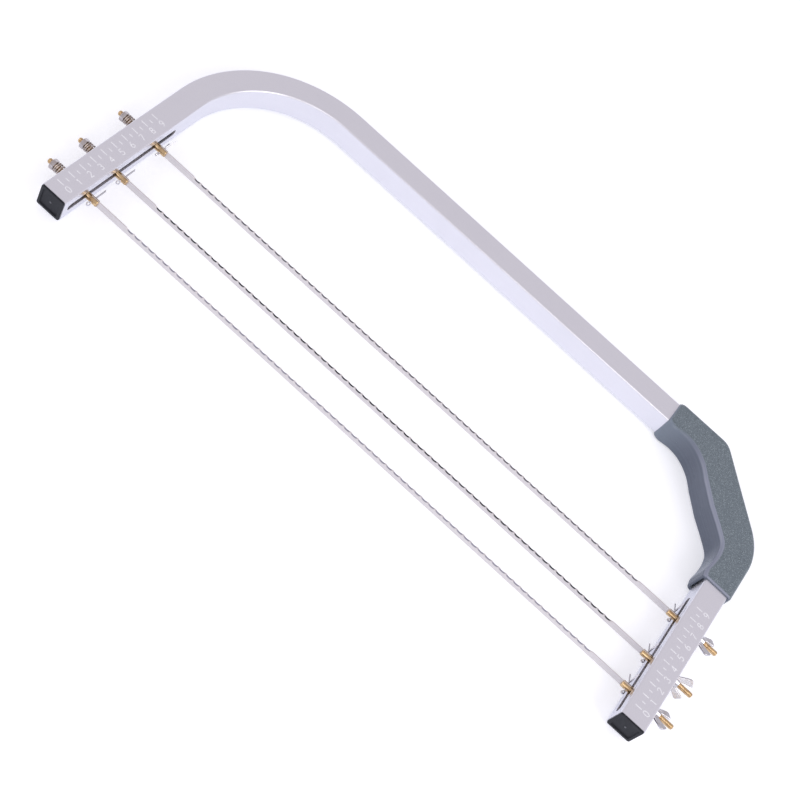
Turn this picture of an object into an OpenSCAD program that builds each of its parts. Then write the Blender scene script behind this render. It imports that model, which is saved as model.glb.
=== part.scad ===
// Adjustable cake leveler: a bow of square tube with a moulded grip and three serrated blades.
// It lies on its back: X runs along the blades, Y from the feet to the top bar, and Z up through
// the numbered front face. The origin is on the floor, midway between the legs and midway between
// the feet and the top bar. Each module is drawn with the feet at Y = 0 and the middle of the
// tube's depth at Z = 0, and placed() then moves it to that origin.

/* [Bow] */
// Width over the outside faces of the two legs
overall_w = 520; // [480:1:560]
// Height from the feet to the top face of the top bar
overall_h = 240; // [232:1:280]
// Side of the square tube
tube_w = 20; // [18:0.5:24]
// Wall of the square tube
tube_wall = 1.2; // [1:0.1:1.5]
// Radius on the outside corners of the square tube
tube_corner_r = 1.6; // [1.6:0.1:2.4]
// Height of the left leg's straight stretch, up to the bare left bend
left_straight = 142; // [136:1:150]
// Height of the right leg's straight stretch, up to the bend inside the grip
right_straight = 140; // [134:1:144]

/* [Leg slots] */
// Height of the lower end of the slots above the feet
slot_start = 6; // [4:0.5:7]
// Length of leg left between a slot's upper end and the bend inside the grip
slot_top_gap = 24; // [23:1:28]
// Gap on each side of a stud in its slot
slot_gap = 0.2; // [0.1:0.05:0.3]

/* [Blades] */
// Width of a blade
blade_w = 6; // [5.5:0.1:7]
// Thickness of a blade
blade_t = 0.6; // [0.4:0.05:0.8]
// Distance from tooth to tooth
tooth_pitch = 6.2; // [5:0.1:8]
// Depth of the hollow between two teeth, on the flat face
tooth_depth = 0.9; // [0.6:0.05:1.1]
// Width of the flat land that is left at a tooth's point
tooth_land = 0.55; // [0.3:0.05:0.8]
// How far the line of the teeth lies below the plain edge
tooth_drop = 0.5; // [0.3:0.1:0.8]
// Slope of the ground bevel, away from square to the blade, in degrees
bevel_angle = 55; // [40:1:60]
// Plain length of blade beside the left stud
plain_left = 24; // [20:1:30]
// Plain length of blade beside the right stud
plain_right = 27; // [20:1:30]

/* [Studs] */
// Diameter of a stud's head
head_d = 5; // [4.8:0.1:5.6]
// Diameter of a stud's thread
thread_d = 4; // [3.8:0.1:4.2]
// How far a left stud's head stands out inside the bow
left_head_out = 9.5; // [9:0.5:11]
// How far a right stud's head stands out inside the bow
right_head_out = 7.5; // [7:0.5:8.5]
// How far a left stud's thread shows past its hex nut
thread_end_out = 2.9; // [2:0.1:4]
// Distance from a head's end to the axis of its split pin
pin_setback = 4; // [3.5:0.1:4.5]
// Gap round a nut's thread and beside a blade in its slit
fit_gap = 0.05; // [0.03:0.01:0.08]

/* [Split pins] */
// Diameter of the wire of a split pin
pin_wire_d = 0.8; // [0.6:0.05:0.9]
// Length of a split pin's eye
pin_eye_l = 5; // [4:0.5:6]
// Width of a split pin's eye
pin_eye_w = 3.6; // [3:0.1:4]
// Length of a split pin's legs past the head
pin_leg_l = 10; // [8:0.5:11]
// Turn of each leg of an opened split pin, in degrees
pin_spread = 22; // [10:1:24]
// Turn of an opened split pin about its own length, in degrees
pin_turn = 62; // [60:1:90]

/* [Springs and nuts] */
// Outside diameter of a spring
spring_d = 8; // [7.6:0.1:9]
// Diameter of a spring's wire
spring_wire_d = 0.8; // [0.6:0.05:0.85]
// Length of a spring between the leg and its hex nut
spring_l = 8; // [8:0.1:10]
// Width of a hex nut across its flats
hex_w = 7; // [6.5:0.1:8]
// Thickness of a hex nut
hex_t = 3.4; // [3:0.1:4]
// Width over a wing nut's wings
wing_span = 18; // [16:0.5:20]
// Height of a wing nut
wing_h = 12.6; // [11:0.1:13]
// Thickness of a wing nut's wings
wing_t = 1.7; // [1.4:0.1:2]
// Diameter of a wing nut's seat
hub_d = 8; // [7.5:0.1:9]
// Height of a wing nut's hub
hub_h = 4.6; // [4:0.1:5]

/* [Grip] */
// Thickness of the grip beyond the outer side of the tube
grip_wall = 2.4; // [1.8:0.1:3]
// Thickness of the grip over the front and back faces of the tube
grip_face = 2; // [1.6:0.1:3]
// Least thickness of the grip on the inner side of the tube
grip_inner_wall = 1.2; // [1:0.1:1.8]
// Thickness of the grip beyond the bend's outermost point, where its side is a slanted flat
grip_slant_wall = 1.4; // [1.2:0.1:2.4]
// How far the palm swell stands past the least thickness of the inner side
grip_swell = 9; // [7:0.1:10]
// Length of the grip left of the bend, along the top bar
grip_top_l = 5.4; // [4:0.1:10]
// Length of the grip below the bend, along the leg
grip_leg_l = 9; // [9:0.5:12]
// How much lower the grip ends on its outer side
grip_skirt = 0.5; // [0:0.5:6]
// Radius on the grip's long edges
grip_edge_r = 3.2; // [2:0.1:3.6]
// Radius of the grip's upper outside corner
grip_top_r = 13; // [8:1:20]
// Radius of the grip's lower outside corner
grip_low_r = 45; // [30:1:50]
// Diameter of the grip screws' heads
screw_head_d = 4.4; // [4:0.1:5]
// Diameter of the grip screws' threads
screw_d = 2.5; // [2:0.1:2.8]

/* [End caps] */
// Thickness of an end cap's flange
cap_flange = 1.2; // [1:0.1:2]
// How far a flange stays inside the tube's outline
cap_inset = 0.4; // [0.2:0.1:0.6]
// Length of the plug inside the leg; it ends below the lowest stud
cap_plug_l = 4; // [3:0.5:5]
// Wall of the plug
cap_wall = 1.4; // [1:0.1:2]

/* [Hidden] */
$fn = 48;

// One overrun serves every cut
cut = 1;

// Bow
leg_x = overall_w / 2 - tube_w / 2;
inner_x = overall_w / 2 - tube_w;
outer_x = overall_w / 2;
bar_y = overall_h - tube_w / 2;
left_bend_r = bar_y - left_straight;
right_bend_r = bar_y - right_straight;
bend_x = leg_x - right_bend_r;
bend_y = right_straight;
slot_l = right_straight - slot_top_gap - slot_start;
bore_w = tube_w - 2 * tube_wall;
bore_corner_r = tube_corner_r - tube_wall;

// Heights of the three blades, lowest first, as shares of the slots' length
blade_shares = [0.173, 0.441, 0.809];
blade_h = [for (share = blade_shares) slot_start + share * slot_l];

// Studs
stud_l = left_head_out + tube_w + spring_l + hex_t + thread_end_out;
stud_head_l = left_head_out + tube_w / 2;
left_head_x = -inner_x + left_head_out;
right_head_x = inner_x - right_head_out;
pin_hole_d = 2 * pin_wire_d;
pin_shaft_d = pin_hole_d - 2 * fit_gap;
pin_split = pin_wire_d / 8;
slit_l = 2 * pin_setback + cut;
thread_chamfer = thread_d / 8;
head_chamfer = head_d / 12;

// Blades
blade_tail = pin_setback / 2;
blade_x0 = left_head_x - pin_setback - blade_tail;
blade_x1 = right_head_x + pin_setback + blade_tail;
teeth_x0 = left_head_x + plain_left;
teeth_x1 = right_head_x - plain_right;
tooth_count = floor((teeth_x1 - teeth_x0) / tooth_pitch);
teeth_l = tooth_count * tooth_pitch;
first_tooth_x = (teeth_x0 + teeth_x1 - teeth_l + tooth_pitch) / 2;
tooth_line = blade_w / 2 - tooth_drop;
tooth_fall = tooth_depth * cos(bevel_angle);
tooth_chord = (tooth_pitch - tooth_land) / 2;
wheel_r = (pow(tooth_chord, 2) + pow(tooth_fall, 2)) / (2 * tooth_fall);

// Springs: the wire's middle runs on coil_r, with straight ends one wire long
coil_r = (spring_d - spring_wire_d) / 2;
coil_turns = 5;
coil_rings = 8;
coil_sides = 6;
coil_rise = spring_l - 2 * spring_wire_d;

// Wing nuts: the turn of each nut's wings from the leg's direction towards the front, in degrees
wing_turns = [-17, 55, -17];
// Outline of a wing as shares of the half span and of the wing nut's height
wing_shares = [
    [0.24, 0.04], [0.44, 0.05], [0.62, 0.22], [0.80, 0.43], [0.94, 0.61],
    [0.99, 0.71], [0.965, 0.80], [0.86, 0.87], [0.74, 0.945], [0.65, 1],
    [0.56, 0.985], [0.50, 0.90], [0.44, 0.74], [0.37, 0.56], [0.30, 0.44], [0.24, 0.36]
];

// Split pins: whether each pin's legs are opened
left_pin_open = [false, false, true];
right_pin_open = [true, true, true];

// Grip: it is lofted round the right bend's centre. The swell on the inner side is given as shares
// of the grip's length and of grip_swell
swell_shares = [
    [0, 0], [0.034, 0.2], [0.112, 0], [0.186, 0], [0.282, 0.30],
    [0.394, 0.83], [0.526, 1], [0.608, 0.80], [0.684, 0.44], [0.765, 0],
    [0.824, 0], [0.894, 0.15], [0.962, 0.31], [0.981, 0.2], [1, 0]
];
grip_gap = 2 * fit_gap;
grip_d = tube_w + 2 * grip_face;
grip_arc_l = right_bend_r * PI / 2;
grip_l = grip_top_l + grip_arc_l + grip_leg_l;
grip_base = right_bend_r - tube_w / 2 - grip_inner_wall;
grip_side = right_bend_r + tube_w / 2 + grip_wall;
grip_slant = right_bend_r + tube_w / 2 + grip_slant_wall;
grip_stations = 44;
edge_steps = 4;
// The screws sit between the tube and the palm, at these turns round the loft's centre in degrees
screw_turns = [36, 56];
screw_head_h = screw_head_d / 3;
screw_r = grip_base - grip_swell + 6 * screw_head_d / 5;
screw_sink = grip_d / 4;
screw_l = 3 * grip_d / 5;
lip_pocket_l = grip_leg_l / 2;

// Square of side w with rounded corners of radius r
module round_square(w, r) {
    square([w - 2 * r, w], center = true);
    square([w, w - 2 * r], center = true);
    for (sx = [-1, 1], sy = [-1, 1])
        translate([sx * (w / 2 - r), sy * (w / 2 - r)])
            circle(r = r);
}

// Carries a 2D section along half of the bow: from the bend down the leg to height y0, and along
// the top bar to just past the middle
module along_half(side, r, y0) {
    mirror([side < 0 ? 1 : 0, 0, 0])
        translate([leg_x - r, bar_y - r, 0]) {
            rotate_extrude(angle = 90)
                translate([r, 0])
                    children();
            translate([r, 0, 0])
                rotate([90, 0, 0])
                    linear_extrude(bar_y - r - y0)
                        children();
            translate([0, r, 0])
                rotate([0, -90, 0])
                    linear_extrude(leg_x - r + cut)
                        children();
        }
}

module along_bow(y0) {
    along_half(-1, left_bend_r, y0)
        children();
    along_half(1, right_bend_r, y0)
        children();
}

// Slot of width w with round ends, cut along X from x0 to x1
module leg_slot(w, x0, x1) {
    end_y0 = slot_start + w / 2;
    end_y1 = slot_start + slot_l - w / 2;
    translate([x0, end_y0, -w / 2])
        cube([x1 - x0, end_y1 - end_y0, w]);
    for (y = [end_y0, end_y1])
        translate([x0, y, 0])
            rotate([0, 90, 0])
                cylinder(d = w, h = x1 - x0);
}

module bow_tube() {
    color("silver")
        difference() {
            along_bow(cap_flange)
                round_square(tube_w, tube_corner_r);
            along_bow(cap_flange - cut)
                round_square(bore_w, bore_corner_r);
            for (side = [-1, 1]) {
                wide = side * inner_x - side * cut;
                narrow = side * outer_x + side * cut;
                leg_slot(head_d + 2 * slot_gap, min(wide, side * leg_x), max(wide, side * leg_x));
                leg_slot(thread_d + 2 * slot_gap, min(narrow, side * leg_x), max(narrow, side * leg_x));
            }
        }
}

// Plastic plug with a recessed face; the flange's face is the foot that the tool stands on
module end_cap(side) {
    flange_w = tube_w - 2 * cap_inset;
    flange_r = tube_corner_r - cap_inset / 2;
    plug_w = bore_w - 2 * fit_gap;
    recess_w = flange_w - 3 * cap_wall;
    recess_d = 2 * cap_flange / 3;
    color("#1c1c1e")
        translate([side * leg_x, 0, 0])
            rotate([-90, 0, 0])
                difference() {
                    union() {
                        linear_extrude(cap_flange)
                            round_square(flange_w, flange_r);
                        translate([0, 0, cap_flange])
                            linear_extrude(cap_plug_l)
                                round_square(plug_w, bore_corner_r);
                    }
                    translate([0, 0, -cut])
                        linear_extrude(cut + recess_d)
                            round_square(recess_w, flange_r);
                    translate([0, 0, cap_flange + cap_wall / 2])
                        linear_extrude(cap_plug_l + cut)
                            round_square(plug_w - 2 * cap_wall, bore_corner_r);
                }
}

// Catmull-Rom value at x in a table of [position, value] shares
function table_at(t, i) = t[max(0, min(len(t) - 1, i))];
function span_of(t, x, i = 0) = i >= len(t) - 2 || x < t[i + 1][0] ? i : span_of(t, x, i + 1);
function slope_at(t, i) =
    let (a = table_at(t, i - 1), b = table_at(t, i + 1))
    (b[1] - a[1]) / (b[0] - a[0]);
function smooth_value(t, x) =
    let (i = span_of(t, x), a = t[i], b = t[i + 1], h = b[0] - a[0], u = (x - a[0]) / h)
    (2 * pow(u, 3) - 3 * pow(u, 2) + 1) * a[1]
    + (pow(u, 3) - 2 * pow(u, 2) + u) * h * slope_at(t, i)
    + (3 * pow(u, 2) - 2 * pow(u, 3)) * b[1]
    + (pow(u, 3) - pow(u, 2)) * h * slope_at(t, i + 1);

// Place on the loft's centre line and outward direction, at distance s along the grip
function grip_at(s) =
    s < grip_top_l
    ? [[bend_x - grip_top_l + s, bend_y], [0, 1]]
    : s > grip_top_l + grip_arc_l
    ? [[bend_x, bend_y - (s - grip_top_l - grip_arc_l)], [1, 0]]
    : let (a = 90 - 90 * (s - grip_top_l) / grip_arc_l) [[bend_x, bend_y], [cos(a), sin(a)]];

// Centre of the round, of radius r, between two lines given by their normals and distances
function round_centre(n0, d0, n1, d1, r) =
    let (det = n0[0] * n1[1] - n0[1] * n1[0])
    [((d0 - r) * n1[1] - (d1 - r) * n0[1]) / det, (n0[0] * (d1 - r) - n1[0] * (d0 - r)) / det];
function turn_of(v) = atan2(v[1], v[0]);
function ray_to_circle(u, c, r) = c * u + sqrt(max(0, r * r - c * c + pow(c * u, 2)));
// Distance from the loft's centre to the grip's outside along direction u, over the leg's side,
// the low round, the slanted side, the top round and the top side
side_normal = [1, 0];
slant_normal = [cos(45), sin(45)];
top_normal = [0, 1];
low_round = round_centre(side_normal, grip_side, slant_normal, grip_slant, grip_low_r);
top_round = round_centre(slant_normal, grip_slant, top_normal, grip_side, grip_top_r);
function outside_at(u) =
    let (a = turn_of(u))
    a < turn_of(low_round + grip_low_r * side_normal) ? grip_side / (u * side_normal)
    : a < turn_of(low_round + grip_low_r * slant_normal) ? ray_to_circle(u, low_round, grip_low_r)
    : a < turn_of(top_round + grip_top_r * slant_normal) ? grip_slant / (u * slant_normal)
    : a < turn_of(top_round + grip_top_r * top_normal) ? ray_to_circle(u, top_round, grip_top_r)
    : grip_side / (u * top_normal);

// Half section of the grip at distance s, as [distance from the loft's centre, depth] points
function grip_section(s) =
    let (
        r1 = outside_at(grip_at(s)[1]),
        r0 = grip_base - grip_swell * smooth_value(swell_shares, s / grip_l),
        top_z = grip_d / 2,
        e = grip_edge_r
    )
    concat(
        [[r0, 0]],
        [for (i = [0:edge_steps]) let (a = 180 - 90 * i / edge_steps)
            [r0 + e + e * cos(a), top_z - e + e * sin(a)]],
        [for (i = [0:edge_steps]) let (a = 90 - 90 * i / edge_steps)
            [r1 - e + e * cos(a), top_z - e + e * sin(a)]],
        [[r1, 0]]
    );

// How far a point at distance r from the centre is drawn down the leg, near the grip's lower end
function skirt_at(s, r) =
    let (u = (s - grip_top_l - grip_arc_l) / grip_leg_l, v = (r - grip_base) / (grip_side - grip_base))
    u <= 0 ? 0 : grip_skirt * u * pow(max(0, v), 2);

// Half of the grip's outer form, lofted through its sections from the top bar to the leg
module grip_half_form() {
    rows = [for (k = [0:grip_stations]) grip_section(grip_l * k / grip_stations)];
    n = len(rows[0]);
    points = [
        for (k = [0:grip_stations])
            let (s = grip_l * k / grip_stations, at = grip_at(s))
            for (p = rows[k])
                [at[0][0] + at[1][0] * p[0], at[0][1] + at[1][1] * p[0] - skirt_at(s, p[0]), p[1]]
    ];
    sides = [
        for (k = [0:grip_stations - 1], i = [0:n - 1])
            let (j = (i + 1) % n, a = k * n, b = (k + 1) * n)
            each [[a + i, b + j, a + j], [a + i, b + i, b + j]]
    ];
    first = [[for (i = [0:n - 1]) i]];
    last = [[for (i = [n - 1:-1:0]) grip_stations * n + i]];
    polyhedron(points, concat(sides, first, last), convexity = 6);
}

// What both shells leave free: the tube's channel and the hollow behind the finger lip
module grip_hollow() {
    channel_w = tube_w + 2 * grip_gap;
    lip = grip_inner_wall + grip_swell * swell_shares[len(swell_shares) - 2][1];
    pocket_d = tube_w - 2 * grip_face;
    end_y = bend_y - grip_leg_l - grip_skirt - cut;
    along_bow(end_y)
        square(channel_w, center = true);
    translate([inner_x - lip / 2, end_y, -pocket_d / 2])
        cube([lip, lip_pocket_l + grip_skirt + cut, pocket_d]);
}

module at_screws() {
    for (a = screw_turns)
        translate([bend_x + screw_r * cos(a), bend_y + screw_r * sin(a), 0])
            children();
}

module front_grip_shell() {
    color("#6b777d")
        difference() {
            grip_half_form();
            grip_hollow();
            at_screws()
                translate([0, 0, -cut])
                    cylinder(d = screw_d + 2 * fit_gap, h = cut + screw_l - grip_d / 2 + screw_d);
        }
}

module rear_grip_shell() {
    color("#6b777d")
        difference() {
            mirror([0, 0, 1])
                grip_half_form();
            grip_hollow();
            at_screws() {
                translate([0, 0, -grip_d / 2 - cut])
                    cylinder(d = screw_head_d + 4 * grip_gap, h = cut + screw_sink);
                translate([0, 0, -grip_d / 2])
                    cylinder(d = screw_d + 4 * grip_gap, h = grip_d);
            }
        }
}

// Two pan-head screws that draw the rear shell onto the front one
module grip_screws() {
    seat_z = -grip_d / 2 + screw_sink;
    top_z = seat_z - screw_head_h;
    slit_w = screw_head_d / 7;
    slit_span = 2 * screw_head_d / 3;
    color("#b4b6b8")
        at_screws()
            difference() {
                rotate_extrude()
                    polygon([
                        [0, top_z], [screw_head_d / 2 - screw_head_h / 2, top_z],
                        [screw_head_d / 2, top_z + screw_head_h / 2], [screw_head_d / 2, seat_z],
                        [screw_d / 2, seat_z], [screw_d / 2, screw_l - grip_d / 2],
                        [0, screw_l + screw_d / 2 - grip_d / 2]
                    ]);
                for (a = [0, 90])
                    rotate([0, 0, a])
                        translate([-slit_span / 2, -slit_w / 2, top_z - cut])
                            cube([slit_span, slit_w, cut + screw_head_h / 2]);
            }
}

// Blade k: a strip on edge, ground from its lower face by a leaning wheel at each tooth
module blade(k) {
    ramp = tooth_drop * 2;
    zone_x0 = first_tooth_x - tooth_pitch / 2;
    zone_x1 = zone_x0 + teeth_l;
    low = -blade_w / 2;
    high = blade_w / 2;
    color("#d6d3da")
        translate([0, blade_h[k], 0])
            difference() {
                translate([0, blade_t / 2, 0])
                    rotate([90, 0, 0])
                        linear_extrude(blade_t)
                            polygon([
                                [blade_x0, low], [blade_x1, low], [blade_x1, high],
                                [zone_x1 + ramp, high], [zone_x1, tooth_line],
                                [zone_x0, tooth_line], [zone_x0 - ramp, high], [blade_x0, high]
                            ]);
                for (i = [0:tooth_count - 1])
                    translate([
                        first_tooth_x + i * tooth_pitch,
                        blade_t / 2,
                        tooth_line - tooth_depth + wheel_r / cos(bevel_angle)
                    ])
                        rotate([bevel_angle - 90, 0, 0])
                            cylinder(r = wheel_r, h = 4 * wheel_r, center = true);
                for (x = [left_head_x - pin_setback, right_head_x + pin_setback])
                    translate([x, blade_t, 0])
                        rotate([90, 0, 0])
                            cylinder(d = pin_hole_d + 2 * fit_gap, h = 2 * blade_t);
            }
}

// Brass stud with its head towards the blade: drawn along +X from the head's end
module stud() {
    slit_w = blade_t + 2 * fit_gap;
    rotate([0, 90, 0])
        difference() {
            rotate_extrude()
                polygon([
                    [0, 0], [head_d / 2 - head_chamfer, 0], [head_d / 2, head_chamfer],
                    [head_d / 2, stud_head_l], [thread_d / 2, stud_head_l],
                    [thread_d / 2, stud_l - thread_chamfer],
                    [thread_d / 2 - thread_chamfer, stud_l], [0, stud_l]
                ]);
            translate([-head_d, -slit_w / 2, -cut])
                cube([2 * head_d, slit_w, slit_l + cut]);
            translate([0, 0, pin_setback])
                rotate([90, 0, 0])
                    cylinder(d = pin_hole_d, h = 2 * head_d, center = true);
        }
}

module left_stud(k) {
    color("#b98d4a")
        translate([left_head_x, blade_h[k], 0])
            mirror([1, 0, 0])
                stud();
}

module right_stud(k) {
    color("#b98d4a")
        translate([right_head_x, blade_h[k], 0])
            stud();
}

// One leg of a split pin: half of a round rod, flat towards the other leg
module pin_leg(side, l) {
    rotate([-90, 0, 0])
        intersection() {
            cylinder(d = pin_shaft_d, h = l);
            translate([side > 0 ? pin_split / 2 : -pin_shaft_d, -pin_shaft_d, -cut])
                cube([pin_shaft_d - pin_split / 2, 2 * pin_shaft_d, l + 2 * cut]);
        }
}

// Split pin through a head: a long eye below, and two legs above, straight or opened
module split_pin(open) {
    eye_r = (pin_eye_w - pin_wire_d) / 2;
    eye_straight = pin_eye_l - pin_eye_w;
    eye_top = -(head_d + pin_wire_d) / 2;
    eye_low = eye_top - eye_r - eye_straight;
    shaft_top = head_d / 2;
    color("#55575a") {
        for (end = [0, 1])
            translate([0, eye_low + end * eye_straight, 0])
                rotate([0, 0, 180 * (1 - end)])
                    rotate_extrude(angle = 180)
                        translate([eye_r, 0])
                            circle(d = pin_wire_d, $fn = 24);
        for (side = [-1, 1]) {
            translate([side * eye_r, eye_low, 0])
                rotate([-90, 0, 0])
                    cylinder(d = pin_wire_d, h = eye_straight, $fn = 24);
            translate([0, shaft_top, 0])
                rotate([0, 0, open ? -side * pin_spread : 0])
                    pin_leg(side, side > 0 ? pin_leg_l : pin_leg_l - pin_shaft_d);
        }
        translate([0, eye_top, 0])
            rotate([-90, 0, 0])
                cylinder(d = pin_shaft_d, h = shaft_top - eye_top);
    }
}

module left_split_pin(k) {
    translate([left_head_x - pin_setback, blade_h[k], 0])
        rotate([0, left_pin_open[k] ? -pin_turn : 0, 0])
            split_pin(left_pin_open[k]);
}

module right_split_pin(k) {
    translate([right_head_x + pin_setback, blade_h[k], 0])
        rotate([0, right_pin_open[k] ? -pin_turn : 0, 0])
            split_pin(right_pin_open[k]);
}

// Centre line of a spring from the leg outwards: a straight foot, the coil, a straight head
function coil_point(i) =
    let (a = 360 * i / coil_rings, x = spring_wire_d + coil_rise * i / (coil_rings * coil_turns))
    [-x, coil_r * cos(a), coil_r * sin(a)];
coil_line = concat(
    [[0, coil_r, 0]],
    [for (i = [0:coil_rings * coil_turns]) coil_point(i)],
    [[-spring_l, coil_r, 0]]
);
// Least gap of the wire to itself, between points at least half a turn apart
coil_gaps = [
    for (i = [0:len(coil_line) - 1], j = [i + coil_rings / 2:1:len(coil_line) - 1])
        norm(coil_line[j] - coil_line[i]) - spring_wire_d
];
echo(spring_gap = min(coil_gaps));

function unit(v) = v / norm(v);
// Ring of the wire at point i, square to the line there; the first and last lie square to X
function wire_ring(line, i) =
    let (
        last = len(line) - 1,
        is_end = i == 0 || i == last,
        along = is_end ? [-1, 0, 0] : unit(unit(line[i + 1] - line[i]) + unit(line[i] - line[i - 1])),
        out = unit([0, line[i][1], line[i][2]]),
        side = unit(cross(along, out)),
        up = cross(side, along)
    )
    [for (k = [0:coil_sides - 1]) let (a = 360 * k / coil_sides)
        line[i] + spring_wire_d / 2 * (cos(a) * up + sin(a) * side)];

module spring(k) {
    rings = len(coil_line);
    points = [for (i = [0:rings - 1]) each wire_ring(coil_line, i)];
    sides = [
        for (i = [0:rings - 2], s = [0:coil_sides - 1])
            let (t = (s + 1) % coil_sides, a = i * coil_sides, b = a + coil_sides)
            each [[a + s, b + s, b + t], [a + s, b + t, a + t]]
    ];
    first = [[for (s = [0:coil_sides - 1]) s]];
    last = [[for (s = [coil_sides - 1:-1:0]) (rings - 1) * coil_sides + s]];
    color("#6f6a62")
        translate([-outer_x, blade_h[k], 0])
            polyhedron(points, concat(sides, first, last), convexity = 6);
}

module hex_nut(k) {
    across = hex_w / cos(30);
    bevel = (across - hex_w) / 2;
    color("#b9b7b5")
        translate([-outer_x - spring_l, blade_h[k], 0])
            rotate([0, -90, 0])
                difference() {
                    intersection() {
                        cylinder(d = across, h = hex_t, $fn = 6);
                        rotate_extrude()
                            polygon([
                                [0, 0], [hex_w / 2, 0], [across / 2, bevel],
                                [across / 2, hex_t - bevel], [hex_w / 2, hex_t], [0, hex_t]
                            ]);
                    }
                    translate([0, 0, -cut])
                        cylinder(d = thread_d + 2 * fit_gap, h = hex_t + 2 * cut);
                }
}

// Wing nut on the right leg's outside, its wings turned to the photographed rest
module wing_nut(k) {
    half = wing_span / 2;
    color("#d8d8da")
        translate([outer_x + fit_gap, blade_h[k], 0])
            rotate([wing_turns[k], 0, 0])
                rotate([0, 90, 0])
                    difference() {
                        union() {
                            rotate_extrude()
                                polygon([
                                    [0, 0], [hub_d / 2, 0], [hub_d / 2, hub_h / 4],
                                    [2 * hub_d / 5, hub_h], [0, hub_h]
                                ]);
                            for (side = [0, 180])
                                rotate([90, 0, side + 90])
                                    translate([0, 0, -wing_t / 2])
                                        linear_extrude(wing_t)
                                            polygon([for (p = wing_shares) [p[0] * half, p[1] * wing_h]]);
                        }
                        translate([0, 0, -cut])
                            cylinder(d = thread_d + 2 * fit_gap, h = wing_h + 2 * cut);
                    }
}

// Moves a piece from the drawing's zero to the part's origin
module placed() {
    translate([0, -overall_h / 2, grip_d / 2])
        children();
}

placed() bow_tube();
placed() end_cap(-1);  // left_end_cap
placed() end_cap(1);  // right_end_cap
placed() front_grip_shell();
placed() rear_grip_shell();
placed() grip_screws();
for (k = [0:2]) {
    n = k + 1;
    placed() blade(k);
    placed() left_stud(k);
    placed() right_stud(k);
    placed() left_split_pin(k);
    placed() right_split_pin(k);
    placed() spring(k);
    placed() hex_nut(k);
    placed() wing_nut(k);
}
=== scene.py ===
"""A bow-shaped cake leveler lying on its back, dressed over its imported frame.

Shapes are drawn in millimetres as the tool stands: x along the blades, y up from the feet, z
towards the numbered front, with zero at mid depth. settle() carries them into the frame in metres.
"""

import math

import bmesh
import bpy
import numpy as np
from mathutils import Matrix, Vector


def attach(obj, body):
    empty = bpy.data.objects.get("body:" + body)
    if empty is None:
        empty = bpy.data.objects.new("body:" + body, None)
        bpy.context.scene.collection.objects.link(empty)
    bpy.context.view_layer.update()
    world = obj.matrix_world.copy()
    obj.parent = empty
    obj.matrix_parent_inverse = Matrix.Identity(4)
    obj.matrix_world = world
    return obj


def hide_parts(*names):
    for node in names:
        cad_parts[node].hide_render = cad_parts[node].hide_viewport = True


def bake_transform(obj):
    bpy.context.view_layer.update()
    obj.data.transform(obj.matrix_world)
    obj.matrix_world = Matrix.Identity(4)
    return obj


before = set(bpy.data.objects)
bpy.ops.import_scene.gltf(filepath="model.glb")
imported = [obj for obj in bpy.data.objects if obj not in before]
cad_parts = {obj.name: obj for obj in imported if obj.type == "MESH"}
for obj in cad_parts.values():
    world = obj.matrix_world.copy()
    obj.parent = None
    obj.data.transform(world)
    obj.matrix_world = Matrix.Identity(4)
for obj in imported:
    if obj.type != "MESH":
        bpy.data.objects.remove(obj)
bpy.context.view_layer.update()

MM = 0.001
SAME_POINT = 1e-7
CREASE = 40
SIDE_NAMES = {-1: "left", 1: "right"}

# Bow
WIDTH = 520.0
HEIGHT = 240.0
TUBE = 20.0
TUBE_WALL = 1.2
LEG_X = WIDTH / 2 - TUBE / 2
INNER_X = WIDTH / 2 - TUBE
OUTER_X = WIDTH / 2

# Grip, lofted round the right bend's centre. SWELL gives the palm's height as a share of
# GRIP_SWELL at each share of the grip's length
BEND_R = 90.0
BEND_X = LEG_X - BEND_R
BEND_Y = 140.0
GRIP_WALL = 2.4
GRIP_FACE = 2.0
GRIP_INNER_WALL = 1.2
GRIP_SLANT_WALL = 1.4
GRIP_SWELL = 9.0
GRIP_TOP_L = 5.4
GRIP_LEG_L = 9.0
GRIP_SKIRT = 0.5
GRIP_RIM_R = 1.6
GRIP_INNER_RIM_R = 0.9
GRIP_END_ROUND = 1.9
GRIP_END_ROUND_L = 5.0
GRIP_EDGE_R = 3.2
GRIP_TOP_R = 13.0
GRIP_LOW_R = 45.0
GRIP_GAP = 0.1
GRIP_DEPTH = TUBE + 2 * GRIP_FACE
GRIP_ARC_L = BEND_R * math.pi / 2
GRIP_L = GRIP_TOP_L + GRIP_ARC_L + GRIP_LEG_L
GRIP_BASE = BEND_R - TUBE / 2 - GRIP_INNER_WALL
GRIP_SIDE = BEND_R + TUBE / 2 + GRIP_WALL
GRIP_SLANT = BEND_R + TUBE / 2 + GRIP_SLANT_WALL
SWELL = np.array([
    [0, 0], [0.034, 0.2], [0.112, 0], [0.186, 0], [0.282, 0.30],
    [0.394, 0.83], [0.526, 1], [0.608, 0.80], [0.684, 0.44], [0.765, 0],
    [0.824, 0], [0.894, 0.15], [0.962, 0.31], [0.981, 0.26], [1, 0.2],
])
LIP_SHARE = 0.2
LIP_POCKET_L = GRIP_LEG_L / 2
LIP_POCKET_STEP = 0.4
PARTING = 0.03
GRIP_STATIONS = 240
RIM_STEPS = 9
EDGE_STEPS = 9
FLAT_STEPS = 8
SIDE_STEPS = 4
SCREW_TURNS = (36, 56)
SCREW_R = GRIP_BASE - GRIP_SWELL + 5.28
SCREW_POCKET_D = 4.8
SCREW_SINK = GRIP_DEPTH / 4

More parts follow.
